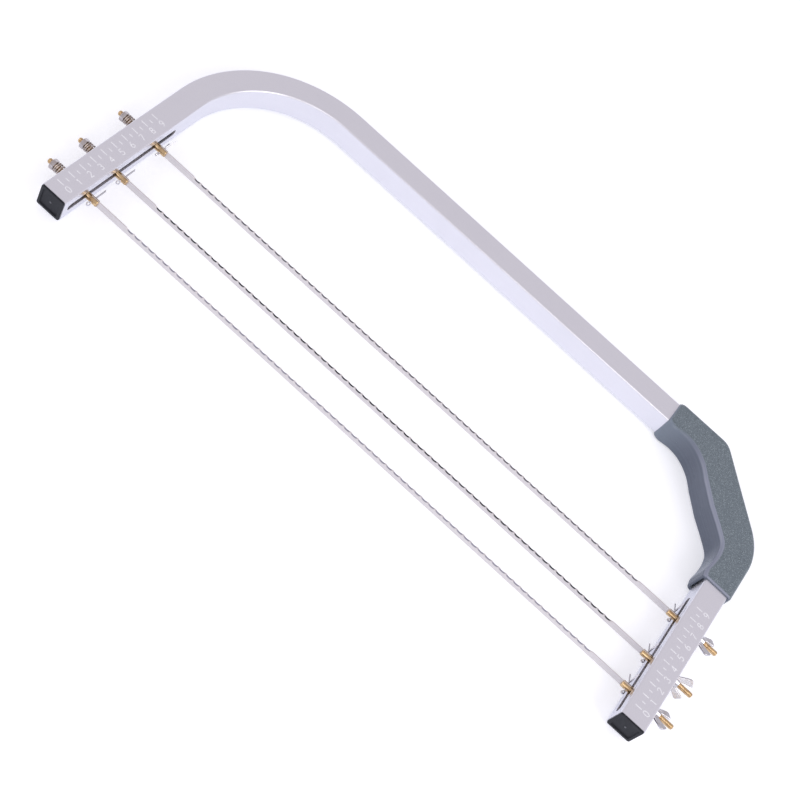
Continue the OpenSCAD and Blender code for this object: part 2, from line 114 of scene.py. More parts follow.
# Blades and studs. HEAD_END and TIP_CHAMFER are drawn in from the head's and the thread's radius
BLADE_HEIGHTS = (25.03, 54.51, 94.99)
HEAD_D = 5.0
HEAD_END = ((0, 0.42), (0.35, 0.06), (0.42, 0))
SHOULDER = 0.3
THREAD_D = 4.0
THREAD_PITCH = 0.7
THREAD_DEPTH = 0.2
THREAD_FLANK = 1.25
THREAD_CREST = 0.12
THREAD_START = 0.05
THREAD_ROWS = 300
THREAD_SIDES = 40
TIP_CHAMFER = 0.55
TIP_SLOPE = 0.8
BORE_PLAY = 0.06
LEFT_HEAD_X = -INNER_X + 9.5
RIGHT_HEAD_X = INNER_X - 7.5
STUD_HEAD_L = 19.5
STUD_L = 43.8
SLIT_W = 0.7
SLIT_L = 9.0
SLIT_OVERLAP = 0.02

# Split pins, along their own length from the stud's middle
PIN_SETBACK = 4.0
PIN_WIRE_R = 0.66
PIN_HALF_GAP = 0.05
PIN_STRAIGHT = 0.8
PIN_NECK = -2.6
PIN_EYE_WIDEST = -4.2
PIN_EYE_LOW = -5.4
PIN_EYE_HALF = 1.3
PIN_LEG_LENGTHS = (10.0, 9.2)
PIN_SPREAD = math.radians(22)
PIN_TURN = math.radians(62)
PIN_BEND_L = 1.2
PIN_OPEN = {-1: (False, False, True), 1: (True, True, True)}

# Springs and nuts. WING_SHARES is one wing's outline as shares of half the span and of the height
SPRING_L = 8.0
SPRING_WIRE_R = 0.55
COIL_R = 3.3
COIL_TURNS = 5.0
COIL_STEPS = 28
COIL_CLOSING = 0.42
HEX_W = 7.0
HEX_T = 3.4
HEX_SINK = 0.45
HEX_CORNER = 0.12
HUB_D = 8.0
HUB_H = 4.6
HUB_SINK = 0.35
HUB_FOOT = 0.25
NUT_GAP = 0.05
WING_SPAN = 18.0
WING_H = 12.6
WING_T = 1.7
WING_ROUND = 0.55
WING_TURNS = (-17, 55, -17)
WING_SHARES = np.array([
    [0.24, 0.04], [0.44, 0.05], [0.62, 0.22], [0.80, 0.43], [0.94, 0.61],
    [0.99, 0.71], [0.965, 0.80], [0.86, 0.87], [0.74, 0.945], [0.65, 1],
    [0.56, 0.985], [0.50, 0.90], [0.44, 0.74], [0.37, 0.56], [0.30, 0.44], [0.24, 0.36],
])

# Scale on the legs' front faces, by side: where the marks start and end, and the figures' foot
FIRST_MARK_Y = {-1: 10.8, 1: 12.4}
LONG_MARK = {-1: (-256.4, -250.6), 1: (244.9, 250.1)}
SHORT_MARK = {-1: (-253.7, -250.6), 1: (247.5, 250.1)}
DIGIT_FOOT = {-1: -243.9, 1: 256.6}
MARK_PITCH = 10.45
MARK_HALF_W = 0.28
DIGIT_H = 5.2
DIGIT_MIDDLE = 0.3
DIGIT_HALF_W = 0.26
PAINT_RISE = 0.035
PAINT_LIFT = 0.01

# End caps: height, half width and corner round of each ring of the sunk face and its rim, and
# height and radius of the rings of the low dot in its middle
CAP_FLANGE = 1.2
CAP_SIDE = TUBE / 2 - 0.4
CAP_CORNER = 1.4
CAP_PLUG = TUBE / 2 - TUBE_WALL - 0.05
CAP_PLUG_L = 4.0
CAP_PLUG_CORNER = 0.5
CAP_PLUG_CHAMFER = 0.4
CAP_FACE = (
    (0.80, 6.95, 0.9), (0.76, 7.3, 1.1), (0.62, 7.45, 1.2), (0.18, 7.5, 1.3), (0.05, 7.58, 1.3),
    (0.0, 7.75, 1.35), (0.0, 9.1, 1.3), (0.06, 9.35, 1.35), (0.22, 9.54, 1.4),
    (0.42, CAP_SIDE, CAP_CORNER),
)
CAP_DOT = ((0.85, 0.75), (0.55, 0.7), (0.47, 0.5))

# Where materials change, in metres of the frame: from the bar to the legs, along the grip's upper
# end, where the painted light on the palm and the painted highlight on its edge round fade, and
# between the blades, where the painted shade in the scallops' hollows changes
LEG_BAND = (0.215, 0.238)
UPPER_END_BAND = (0.154, 0.184)
PAINTED_SHEEN_BAND = (0.168, 0.202)
ABOVE_LOWEST = (-0.082, -0.078)
ABOVE_MIDDLE = (-0.047, -0.043)
HAIR_STRETCH = 0.012
FLAKE_REACH = 0.42

# Stage, in metres and watts. FLOOR_LIFT is the emission near, added far out, and in mirrors
FLOOR_SIZE = 12
FLOOR_LIFT = (0.44, 0.56, 0.42)
FAR_BAND = (0.9, 3.0)
LAMPS = (
    ("key", (1.6, -0.35, 1.25), (0, 0, 0), 1.5, 13),
    ("low_left", (-1.6, -0.5, 0.8), (0.1, 0, 0), 1.4, 6),
    ("front", (0.5, -1.9, 1.3), (0, 0, 0), 1.4, 7),
)
CAMERA_PLACE = (0.026533, -0.645943, 0.775239)
CAMERA_RIGHT = Vector((0.73935976, 0.5406611, 0.40128883))
CAMERA_UP = Vector((-0.67283865, 0.57097089, 0.4704045))
CAMERA_AHEAD = Vector((-0.02520517, 0.61780079, -0.78593058))
CAMERA_LENS = 64.88


# Surfaces


def settle(points):
    """Millimetres of the standing tool to metres of the frame: down by half the height, and up by
    half the grip's depth."""
    return (np.asarray(points, float) + (0, -HEIGHT / 2, GRIP_DEPTH / 2)) * MM


def quads(rows, cols, wrap_rows=False):
    """Quads of a grid of points counted row by row, its rows closed: each joins a point, its next
    in the row, and the same two in the next row."""
    i = np.arange(rows if wrap_rows else rows - 1)[:, None]
    j = np.arange(cols)[None, :]
    near, far = i * cols, (i + 1) % rows * cols
    step = (j + 1) % cols
    return np.stack([near + j, near + step, far + step, far + j], -1).reshape(-1, 4)


def closed_grid(points):
    """Rings of points, first to last, with both end rings closed by one face each."""
    rows, cols = points.shape[:2]
    faces = quads(rows, cols).tolist()
    faces += [list(range(cols))[::-1], list(range((rows - 1) * cols, rows * cols))]
    return points.reshape(-1, 3), faces


def ring_grid(points):
    """Rings of points whose last ring joins the first, as a nut's section does round its bore."""
    rows, cols = points.shape[:2]
    return points.reshape(-1, 3), quads(rows, cols, wrap_rows=True).tolist()


def unit(vectors):
    return vectors / np.linalg.norm(vectors, axis=-1, keepdims=True)


def sweep(path, section, across):
    """A section carried along a path: point = path + section u * side + section v * up, where side
    is the unit of tangent x across, and up is side x tangent."""
    tangent = unit(np.gradient(path, axis=0))
    side = unit(np.cross(tangent, np.broadcast_to(across, path.shape)))
    up = np.cross(side, tangent)
    u, v = section[None, :, :1], section[None, :, 1:]
    return closed_grid(path[:, None] + u * side[:, None] + v * up[:, None])


def turned(x, r, sides):
    """A surface of revolution about x: point = (x, r cos a, r sin a), with r by row or by row and
    angle."""
    a = np.arange(sides) * 2 * math.pi / sides
    x = np.broadcast_to(np.asarray(x, float).reshape(len(x), -1), (len(x), sides))
    r = np.broadcast_to(np.asarray(r, float).reshape(len(r), -1), (len(r), sides))
    return np.stack([x, r * np.cos(a), r * np.sin(a)], -1)


def round_section(radius, sides):
    """A circle: radius * (cos a, sin a)."""
    a = np.arange(sides) * 2 * math.pi / sides
    return np.stack([radius * np.cos(a), radius * np.sin(a)], -1)


def square_ring(half, corner, steps=6):
    """A square with round corners: each corner's centre plus corner * (cos a, sin a)."""
    a = np.linspace(0, math.pi / 2, steps)
    turns = a[None, :] + np.arange(4)[:, None] * math.pi / 2
    centres = (half - corner) * np.array([[1, 1], [-1, 1], [-1, -1], [1, -1]])
    arcs = centres[:, None] + corner * np.stack([np.cos(turns), np.sin(turns)], -1)
    return arcs.reshape(-1, 2)


def smooth_loop(outline, steps=5):
    """A closed curve through the outline's points: Catmull-Rom with steps points to each span."""
    t = np.linspace(0, 1, steps, endpoint=False)[None, :, None]
    a, b, c, d = (np.roll(outline, k, axis=0)[:, None] for k in (1, 0, -1, -2))
    square, cube = 2 * a - 5 * b + 4 * c - d, 3 * b - a - 3 * c + d
    curve = 2 * b + (c - a) * t + square * t**2 + cube * t**3
    return 0.5 * curve.reshape(-1, 2)


def about_y(points, angle):
    """Turned about the y axis: x' = x cos + z sin, z' = z cos - x sin."""
    x, y, z = points[..., 0], points[..., 1], points[..., 2]
    c, s = math.cos(angle), math.sin(angle)
    return np.stack([x * c + z * s, y, z * c - x * s], -1)


def about_x(points, angle):
    """Turned about the x axis: y' = y cos - z sin, z' = y sin + z cos."""
    x, y, z = points[..., 0], points[..., 1], points[..., 2]
    c, s = math.cos(angle), math.sin(angle)
    return np.stack([x, y * c - z * s, y * s + z * c], -1)


def moved(shells, offset, turn=None):
    """The same shells turned by a function, then shifted by an offset."""
    return [((turn(p) if turn else p) + np.asarray(offset, float), faces) for p, faces in shells]


def make_piece(name, shells, material, crease=CREASE):
    """One mesh of closed shells, its faces outwards, smooth except over edges sharper than
    crease degrees."""
    points, faces, start = [], [], 0
    for shell_points, shell_faces in shells:
        points.append(settle(shell_points))
        faces += [[i + start for i in face] for face in shell_faces]
        start += len(shell_points)
    mesh = bpy.data.meshes.new(name)
    mesh.from_pydata(np.concatenate(points).tolist(), [], faces)
    form = bmesh.new()
    form.from_mesh(mesh)
    bmesh.ops.remove_doubles(form, verts=form.verts, dist=SAME_POINT)
    bmesh.ops.recalc_face_normals(form, faces=form.faces)
    form.to_mesh(mesh)
    form.free()
    mesh.shade_smooth()
    mesh.set_sharp_from_angle(angle=math.radians(crease))
    mesh.materials.append(material)
    piece = bpy.data.objects.new(name, mesh)
    bpy.context.scene.collection.objects.link(piece)
    return piece


def keep_flats(piece):
    """A Weighted Normal modifier, so that flat faces beside small rounds stay flat to the light."""
    flats = piece.modifiers.new("keep_flats", "WEIGHTED_NORMAL")
    flats.keep_sharp = True


def round_edges(piece, width, angle=CREASE):
    """A Bevel modifier on the edges sharper than angle degrees, width in millimetres."""
    bevel = piece.modifiers.new("round_edges", "BEVEL")
    bevel.width = width * MM
    bevel.segments = 2
    bevel.limit_method = "ANGLE"
    bevel.angle_limit = math.radians(angle)
    bevel.harden_normals = True


# Shader groups


def start_group(name, inputs, outputs):
    """An empty node group with float inputs (name, default) and float outputs."""
    group = bpy.data.node_groups.new(name, "ShaderNodeTree")
    new_socket, kind = group.interface.new_socket, "NodeSocketFloat"
    for socket, default in inputs:
        new_socket(socket, in_out="INPUT", socket_type=kind).default_value = default
    for socket in outputs:
        new_socket(socket, in_out="OUTPUT", socket_type=kind)
    return group, group.nodes.new("NodeGroupInput"), group.nodes.new("NodeGroupOutput")


def feed(tree, socket, value):
    """A socket linked to another socket, or set to a number or a linear colour."""
    if isinstance(value, bpy.types.NodeSocket):
        tree.links.new(value, socket)
    else:
        socket.default_value = (*value, 1) if isinstance(value, tuple) else value


def math_node(tree, operation, a, b=None, clamp=False):
    """A Math node; a and b are sockets or numbers."""
    node = tree.nodes.new("ShaderNodeMath")
    node.operation = operation
    node.use_clamp = clamp
    feed(tree, node.inputs[0], a)
    if b is not None:
        feed(tree, node.inputs[1], b)
    return node.outputs[0]


def plus(tree, a, b, clamp=False):
    return math_node(tree, "ADD", a, b, clamp)


def times(tree, a, b):
    return math_node(tree, "MULTIPLY", a, b)


def rest_of(tree, value):
    """One less the value."""
    return math_node(tree, "SUBTRACT", 1.0, value, clamp=True)


def band(tree, value, low, high, first=0.0, last=1.0):
    """first below low, last above high, and a straight ramp between."""
    node = tree.nodes.new("ShaderNodeMapRange")
    tree.links.new(value, node.inputs["Value"])
    sockets = ("From Min", "From Max", "To Min", "To Max")
    for socket, number in zip(sockets, (low, high, first, last)):
        node.inputs[socket].default_value = number
    return node.outputs["Result"]


def noise(tree, vector, scale, detail, roughness):
    node = tree.nodes.new("ShaderNodeTexNoise")
    tree.links.new(vector, node.inputs["Vector"])
    feed(tree, node.inputs["Scale"], scale)
    node.inputs["Detail"].default_value = detail
    node.inputs["Roughness"].default_value = roughness
    return node.outputs["Fac"]


def object_point(tree):
    return tree.nodes.new("ShaderNodeTexCoord").outputs["Object"]


def parts(tree, vector):
    """The X, Y and Z of a vector."""
    node = tree.nodes.new("ShaderNodeSeparateXYZ")
    tree.links.new(vector, node.inputs[0])
    return node.outputs


def facing(tree):
    """The X, Y and Z of the surface's normal."""
    return parts(tree, tree.nodes.new("ShaderNodeNewGeometry").outputs["Normal"])


def stretched(tree, vector, scale):
    """A pattern drawn out along an axis: its coordinate is multiplied by less than one."""
    node = tree.nodes.new("ShaderNodeMapping")
    tree.links.new(vector, node.inputs["Vector"])
    node.inputs["Scale"].default_value = scale
    return node.outputs["Vector"]


def fine_grain():
    """Even grain: noise at Scale, pulled from a half by Contrast."""
    inputs = [("Scale", 2000.0), ("Contrast", 1.0)]
    group, given, result = start_group("fine_grain", inputs, ["Grain"])
    grain = noise(group, object_point(group), given.outputs["Scale"], 3.0, 0.6)
    scaled = times(group, math_node(group, "SUBTRACT", grain, 0.5), given.outputs["Contrast"])
    group.links.new(plus(group, scaled, 0.5, clamp=True), result.inputs["Grain"])
    return group


def handling_marks():
    """Soft patches where hands have dulled a surface, as noise above a threshold, times Amount."""
    inputs = [("Scale", 30.0), ("Amount", 1.0)]
    group, given, result = start_group("handling_marks", inputs, ["Mask"])
    patches = noise(group, object_point(group), given.outputs["Scale"], 5.0, 0.62)
    mask = times(group, band(group, patches, 0.46, 0.72), given.outputs["Amount"])
    group.links.new(mask, result.inputs["Mask"])
    return group


def hairlines():
    """Long fine scratches along x and y: noise drawn out along one axis, kept near its crest."""
    group, given, result = start_group("hairlines", [("Scale", 900.0)], ["Along x", "Along y"])
    point = object_point(group)
    for socket, scale in (("Along x", (HAIR_STRETCH, 1, 1)), ("Along y", (1, HAIR_STRETCH, 1))):
        lines = noise(group, stretched(group, point, scale), given.outputs["Scale"], 2.0, 0.55)
        group.links.new(band(group, lines, 0.5, 0.72), result.inputs[socket])
    return group


def flakes():
    """Small specks: the middles of the cells of a Voronoi pattern whose random value is below
    Share."""
    group, given, result = start_group("flakes", [("Scale", 1500.0), ("Share", 0.2)], ["Specks"])
    cells = group.nodes.new("ShaderNodeTexVoronoi")
    group.links.new(object_point(group), cells.inputs["Vector"])
    group.links.new(given.outputs["Scale"], cells.inputs["Scale"])
    colour = group.nodes.new("ShaderNodeSeparateColor")
    group.links.new(cells.outputs["Color"], colour.inputs["Color"])
    chosen = math_node(group, "LESS_THAN", colour.outputs["Red"], given.outputs["Share"])
    near = math_node(group, "LESS_THAN", cells.outputs["Distance"], FLAKE_REACH)
    group.links.new(times(group, chosen, near), result.inputs["Specks"])
    return group


GROUPS = {make.__name__: make() for make in (fine_grain, handling_marks, hairlines, flakes)}


# Materials


def start_material(name, colour, roughness, metallic=0.0, specular=0.5):
    """A material with its own Principled shader; colour is linear."""
    material = bpy.data.materials.new(name)
    material.use_nodes = True
    material.diffuse_color = (*colour, 1)
    shader = material.node_tree.nodes["Principled BSDF"]
    shader.inputs["Base Color"].default_value = (*colour, 1)
    shader.inputs["Roughness"].default_value = roughness
    shader.inputs["Metallic"].default_value = metallic
    shader.inputs["Specular IOR Level"].default_value = specular
    return material, material.node_tree, shader


def place_group(tree, name, **values):
    node = tree.nodes.new("ShaderNodeGroup")
    node.node_tree = GROUPS[name]
    for socket, value in values.items():
        node.inputs[socket].default_value = value
    return node.outputs


def tint(tree, factor, first, second):
    """A colour between first and second; each is a linear colour or a socket."""
    node = tree.nodes.new("ShaderNodeMix")
    node.data_type = "RGBA"
    tree.links.new(factor, node.inputs["Factor"])
    feed(tree, node.inputs[6], first)
    feed(tree, node.inputs[7], second)
    return node.outputs[2]


def colour_by(tree, shader, colour):
    tree.links.new(colour, shader.inputs["Base Color"])


def spread(tree, shader, factor, low, high):
    """Roughness from low to high over the factor."""
    tree.links.new(band(tree, factor, 0.0, 1.0, low, high), shader.inputs["Roughness"])


def relief(tree, shader, height, distance, strength):
    """A Bump node on the shader; distance in millimetres."""
    node = tree.nodes.new("ShaderNodeBump")
    node.inputs["Strength"].default_value = strength
    node.inputs["Distance"].default_value = distance * MM
    tree.links.new(height, node.inputs["Height"])
    tree.links.new(node.outputs["Normal"], shader.inputs["Normal"])


def bow_metal():
    """Anodised aluminium tube: matt, close-grained, with faint drawing lines along each
    straight."""
    material, tree, shader = start_material("bow_metal", (0.86, 0.845, 0.885), 0.36, metallic=0.85)
    grain = place_group(tree, "fine_grain", Scale=2600.0, Contrast=1.6)["Grain"]
    lines = place_group(tree, "hairlines", Scale=420.0)
    dulled = place_group(tree, "handling_marks", Scale=22.0, Amount=1.0)["Mask"]
    out = math_node(tree, "ABSOLUTE", parts(tree, object_point(tree))["X"])
    on_leg = band(tree, out, *LEG_BAND)
    drawn = plus(tree, times(tree, lines["Along y"], on_leg),
                 times(tree, lines["Along x"], rest_of(tree, on_leg)))
    base = tint(tree, grain, (0.78, 0.765, 0.81), (0.885, 0.87, 0.91))
    colour_by(tree, shader, tint(tree, times(tree, dulled, 0.3), base, (0.78, 0.77, 0.815)))
    spread(tree, shader, plus(tree, times(tree, dulled, 0.5), times(tree, grain, 0.5)), 0.28, 0.42)
    height = math_node(tree, "SUBTRACT", grain, times(tree, drawn, 0.35))
    relief(tree, shader, height, 0.012, 0.45)
    return material


def grip_plastic():
    """Textured moulding: blue-grey with small light and dark flakes on the faces; plain and
    smoother on the palm side, which looks towards the blades, with faint flow lines along it and
    painted light at its upper end; and a painted highlight, lighter, on the round between the two,
    except at that end."""
    material, tree, shader = start_material("grip_plastic", (0.14, 0.18, 0.205), 0.42)
    normal = facing(tree)
    along = parts(tree, object_point(tree))["X"]
    inward = plus(tree, times(tree, normal["X"], -0.7), times(tree, normal["Y"], -0.7))
    lean = math_node(tree, "ABSOLUTE", normal["Z"])
    textured = rest_of(tree, band(tree, inward, 0.15, 0.5))
    # Painted light: the palm is lighter towards its upper end, by the bar
    painted_light_upper_end = rest_of(tree, band(tree, along, *UPPER_END_BAND))
    # Painted highlight: a lighter strip on the edge round between palm and face, fading towards the
    # upper end
    painted_sheen_and_dot = times(tree, band(tree, inward, 0.10, 0.26), band(tree, lean, 0.22, 0.45))
    painted_sheen_and_dot = times(tree, painted_sheen_and_dot, times(tree, 0.85, band(tree, along, *PAINTED_SHEEN_BAND)))
    light = place_group(tree, "flakes", Scale=1700.0, Share=0.30)["Specks"]
    dark = place_group(tree, "flakes", Scale=1450.0, Share=0.34)["Specks"]
    grain = place_group(tree, "fine_grain", Scale=1900.0, Contrast=2.0)["Grain"]
    dulled = place_group(tree, "handling_marks", Scale=35.0, Amount=1.0)["Mask"]
    base = tint(tree, grain, (0.115, 0.144, 0.166), (0.170, 0.205, 0.230))
    base = tint(tree, times(tree, dark, times(tree, textured, 0.72)), base, (0.058, 0.077, 0.089))
    base = tint(tree, times(tree, light, times(tree, textured, 0.66)), base, (0.39, 0.45, 0.47))
    flow = noise(tree, stretched(tree, object_point(tree), (0.02, 0.02, 1)), 700.0, 3.0, 0.6)
    palm = tint(tree, band(tree, flow, 0.35, 0.65), (0.110, 0.129, 0.172), (0.126, 0.147, 0.194))
    palm = tint(tree, times(tree, dulled, 0.5), palm, (0.132, 0.153, 0.200))
    # The palm's painted light at its upper end
    palm = tint(tree, painted_light_upper_end, palm, (0.205, 0.245, 0.300))
    base = tint(tree, textured, palm, base)
    # The painted highlight's colour on the edge round
    colour_by(tree, shader, tint(tree, painted_sheen_and_dot, base, (0.285, 0.305, 0.385)))
    spread(tree, shader, times(tree, textured, plus(tree, grain, 0.1)), 0.24, 0.50)
    relief(tree, shader, times(tree, grain, textured), 0.05, 0.6)
    return material


def cap_plastic():
    """Black moulded plastic with a spark-eroded face, a little dust, and a lighter moulding point
    at each recess's middle."""
    black = (0.006, 0.0066, 0.009)
    material, tree, shader = start_material("cap_plastic", black, 0.45, specular=0.3)
    grain = place_group(tree, "fine_grain", Scale=1800.0, Contrast=1.8)["Grain"]
    dust = place_group(tree, "handling_marks", Scale=140.0, Amount=0.5)["Mask"]
    point = parts(tree, object_point(tree))
    across = math_node(tree, "SUBTRACT", math_node(tree, "ABSOLUTE", point["X"]), LEG_X * MM)
    deep = math_node(tree, "SUBTRACT", point["Z"], GRIP_DEPTH / 2 * MM)
    off = math_node(tree, "SQRT", plus(tree, times(tree, across, across), times(tree, deep, deep)))
    # Lighter at each recess's middle, over the low dot
    painted_sheen_and_dot = rest_of(tree, band(tree, off, 0.5 * MM, 1.1 * MM))
    base = tint(tree, grain, (0.0085, 0.009, 0.0125), (0.0145, 0.0155, 0.0215))
    base = tint(tree, dust, base, (0.026, 0.028, 0.037))
    colour_by(tree, shader, tint(tree, painted_sheen_and_dot, base, (0.16, 0.165, 0.185)))
    spread(tree, shader, grain, 0.36, 0.58)
    relief(tree, shader, grain, 0.04, 0.6)
    return material


def blade_steel():
    """Rolled strip with hairlines along the blade; the ground scallops, whose faces lean from the
    strip's own, have painted shade in their hollows and are bright at their points. The painted
    shade is darkest in the middle blade's hollows and lightest in the lowest blade's."""
    material, tree, shader = start_material("blade_steel", (0.73, 0.68, 0.66), 0.34, metallic=0.9)
    lines = place_group(tree, "hairlines", Scale=1500.0)["Along x"]
    grain = place_group(tree, "fine_grain", Scale=1400.0, Contrast=1.3)["Grain"]
    normal = facing(tree)
    along, side, back = (math_node(tree, "ABSOLUTE", normal[axis]) for axis in "XYZ")
    shaded_hollows = rest_of(tree, band(tree, math_node(tree, "MAXIMUM", side, back), 0.88, 0.97))
    shaded_hollows = times(tree, shaded_hollows, rest_of(tree, band(tree, along, 0.22, 0.35)))
    height = parts(tree, object_point(tree))["Y"]
    # Painted shade in the scallops' hollows: near black on the middle blade, lightest on the lowest
    dark = tint(tree, band(tree, height, *ABOVE_LOWEST), (0.30, 0.285, 0.33), (0.026, 0.024, 0.028))
    dark = tint(tree, band(tree, height, *ABOVE_MIDDLE), dark, (0.13, 0.12, 0.135))
    base = tint(tree, grain, (0.68, 0.635, 0.620), (0.81, 0.760, 0.740))
    base = tint(tree, times(tree, lines, 0.4), base, (0.54, 0.50, 0.49))
    # The scallops' faces get their painted shade
    colour_by(tree, shader, tint(tree, shaded_hollows, base, dark))
    spread(tree, shader, plus(tree, times(tree, lines, 0.5), shaded_hollows, clamp=True), 0.30, 0.48)
    relief(tree, shader, lines, 0.01, 0.5)
    return material


def stud_brass():
    """Turned brass: rings of the tool round each stud, warmer where it has tarnished."""
    material, tree, shader = start_material("stud_brass", (0.68, 0.50, 0.28), 0.24, metallic=1.0)
    rings = noise(tree, stretched(tree, object_point(tree), (1, 0.03, 0.03)), 5000.0, 2.0, 0.5)
    tarnish = place_group(tree, "handling_marks", Scale=260.0, Amount=0.8)["Mask"]
    base = tint(tree, rings, (0.58, 0.39, 0.19), (0.84, 0.63, 0.38))
    colour_by(tree, shader, tint(tree, tarnish, base, (0.30, 0.165, 0.07)))
    spread(tree, shader, plus(tree, times(tree, rings, 0.5), tarnish, clamp=True), 0.13, 0.36)
    relief(tree, shader, rings, 0.012, 0.6)
    return material


def plain_steel(name, light, dark, low, high):
    """Small steel parts: a tone between dark and light by fine grain and stains."""
    material, tree, shader = start_material(name, light, low, metallic=1.0)
    grain = place_group(tree, "fine_grain", Scale=3000.0, Contrast=1.6)["Grain"]
    stains = place_group(tree, "handling_marks", Scale=320.0, Amount=0.85)["Mask"]
    base = tint(tree, grain, tuple(0.88 * c for c in light), light)
    colour_by(tree, shader, tint(tree, stains, base, dark))
    spread(tree, shader, plus(tree, times(tree, grain, 0.5), stains, clamp=True), low, high)
    relief(tree, shader, grain, 0.01, 0.5)
    return material


def scale_paint():
    """White marks printed on the anodised face, slightly broken by the grain below."""
    material, tree, shader = start_material("scale_paint", (0.88, 0.88, 0.90), 0.5)
    grain = place_group(tree, "fine_grain", Scale=3500.0, Contrast=2.2)["Grain"]
    colour_by(tree, shader, tint(tree, grain, (0.86, 0.86, 0.89), (0.97, 0.97, 0.98)))
    spread(tree, shader, grain, 0.42, 0.6)
    return material


BOW_METAL = bow_metal()
GRIP_PLASTIC = grip_plastic()
CAP_PLASTIC = cap_plastic()
BLADE_STEEL = blade_steel()
STUD_BRASS = stud_brass()
PIN_STEEL = plain_steel("pin_steel", (0.80, 0.79, 0.81), (0.50, 0.49, 0.50), 0.18, 0.32)
SPRING_STEEL = plain_steel("spring_steel", (0.62, 0.53, 0.47), (0.12, 0.085, 0.07), 0.18, 0.36)
HEX_NUT_METAL = plain_steel("hex_nut_metal", (0.64, 0.59, 0.58), (0.34, 0.27, 0.24), 0.16, 0.34)
WING_NUT_METAL = plain_steel("wing_nut_metal", (0.74, 0.73, 0.76), (0.50, 0.45, 0.43), 0.13, 0.26)
SCREW_STEEL = plain_steel("screw_steel", (0.66, 0.66, 0.68), (0.42, 0.42, 0.43), 0.24, 0.40)
SCALE_PAINT = scale_paint()


# Grip


def swell_at(share):
    """The palm swell along the grip: a cubic through the table's points, whose slope at each is
    that of its two neighbours."""
    x, v = SWELL.T
    place = np.arange(len(x))
    before, after = np.maximum(place - 1, 0), np.minimum(place + 1, len(x) - 1)
    slope = (v[after] - v[before]) / (x[after] - x[before])
    i = np.clip(np.searchsorted(x, share, side="right") - 1, 0, len(x) - 2)
    h = x[i + 1] - x[i]
    u = (share - x[i]) / h
    return ((2 * u**3 - 3 * u**2 + 1) * v[i] + (u**3 - 2 * u**2 + u) * h * slope[i]
            + (3 * u**2 - 2 * u**3) * v[i + 1] + (u**3 - u**2) * h * slope[i + 1])


def grip_line(s):
    """Centre and outward direction of the loft at distance s: straight along the bar, then a
    quarter turn, then straight down the leg."""
    turn = np.pi / 2 - np.pi / 2 * np.clip((s - GRIP_TOP_L) / GRIP_ARC_L, 0, 1)
    out = np.stack([np.cos(turn), np.sin(turn)], -1)
    x = BEND_X - np.maximum(GRIP_TOP_L - s, 0)
    y = BEND_Y - np.maximum(s - GRIP_TOP_L - GRIP_ARC_L, 0)
    return np.stack([x, y], -1), out


def round_between(n0, d0, n1, d1, r):
    """Centre of the round of radius r inside two lines, each given by its normal and distance."""
    e0, e1 = d0 - r, d1 - r
    det = n0[0] * n1[1] - n0[1] * n1[0]
    return np.array([(e0 * n1[1] - e1 * n0[1]) / det, (n0[0] * e1 - n1[0] * e0) / det])


def outside_at(out):
    """Distance from the loft's centre to the grip's outside: the leg's side, a wide round, the
    slanted flat, a small round and the top side, each where its own stretch of angles is."""
    side, top = np.array([1.0, 0.0]), np.array([0.0, 1.0])
    slant = (side + top) / math.sqrt(2)
    low = round_between(side, GRIP_SIDE, slant, GRIP_SLANT, GRIP_LOW_R)
    high = round_between(slant, GRIP_SLANT, top, GRIP_SIDE, GRIP_TOP_R)
    angle = np.arctan2(out[:, 1], out[:, 0])

    def turn_of(centre, r, normal):
        point = centre + r * normal
        return math.atan2(point[1], point[0])

    def ray(centre, r):
        along = out @ centre
        return along + np.sqrt(np.maximum(0, r * r - centre @ centre + along**2))

    limits = [turn_of(low, GRIP_LOW_R, side), turn_of(low, GRIP_LOW_R, slant),
              turn_of(high, GRIP_TOP_R, slant), turn_of(high, GRIP_TOP_R, top)]
    with np.errstate(divide="ignore"):
        return np.select(
            [angle < limits[0], angle < limits[1], angle < limits[2], angle < limits[3]],
            [GRIP_SIDE / np.maximum(out @ side, 1e-6), ray(low, GRIP_LOW_R),
             GRIP_SLANT / np.maximum(out @ slant, 1e-6), ray(high, GRIP_TOP_R)],
            GRIP_SIDE / np.maximum(out @ top, 1e-6))


